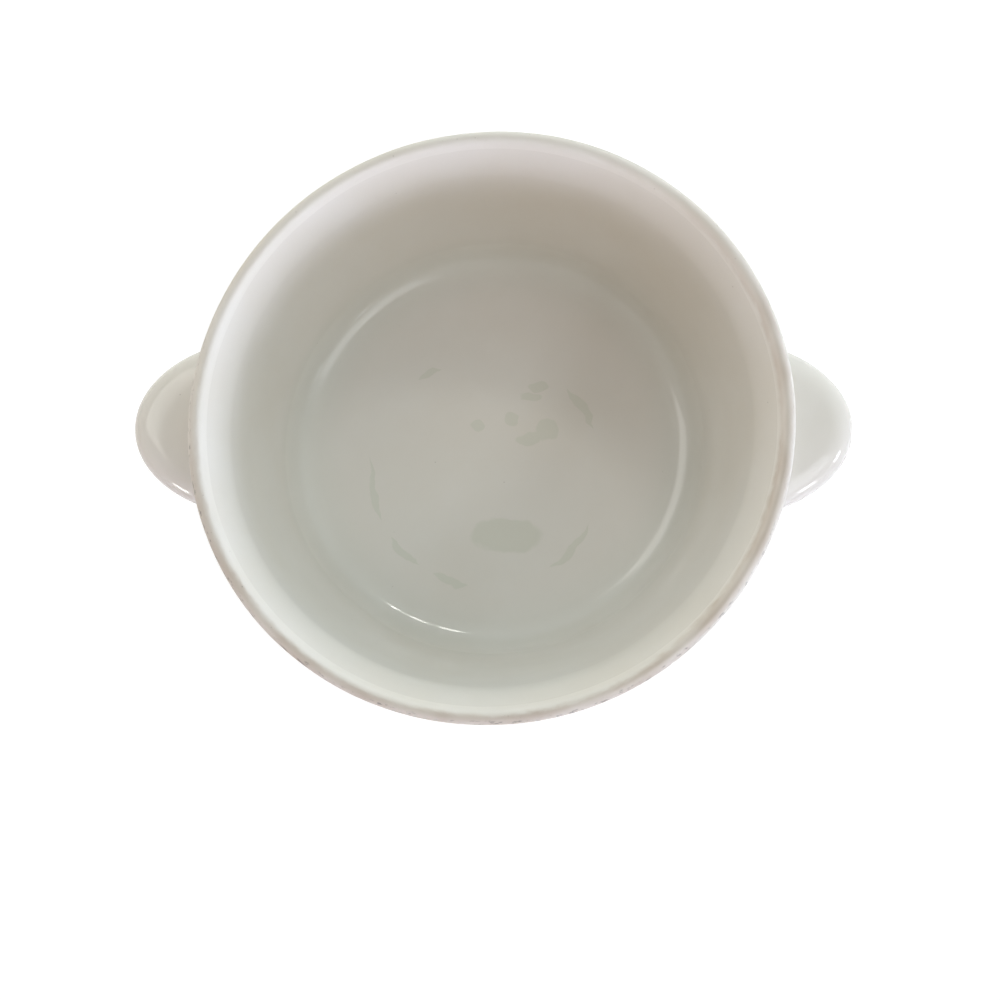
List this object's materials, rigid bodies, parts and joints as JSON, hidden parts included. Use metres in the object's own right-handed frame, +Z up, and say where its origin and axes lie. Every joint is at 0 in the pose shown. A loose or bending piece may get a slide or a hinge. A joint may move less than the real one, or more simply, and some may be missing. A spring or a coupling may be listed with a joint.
{
  "type": "casserole dish",
  "caption": "Round open porcelain casserole dish with a tapered wall, flared half-round lip, solid lug handles under the rim and a bare foot ring.",
  "frame": {"origin": "middle of the dish on the surface that it stands on", "axes": "+X along the handles towards the right one, +Z up out of the dish"},
  "size_m": [0.2484, 0.1986, 0.092],
  "materials": {
    "glazed_porcelain": "glossy clear glaze over warm white porcelain, worn and stained along the lip",
    "bare_biscuit": "bare fired biscuit, matt, greyed by use"
  },
  "bodies": {
    "root": {"casserole_body": "glazed_porcelain", "left_handle": "glazed_porcelain", "right_handle": "glazed_porcelain", "left_slip_joint": "glazed_porcelain", "right_slip_joint": "glazed_porcelain", "foot_ring": "bare_biscuit"}
  },
  "joints": []
}
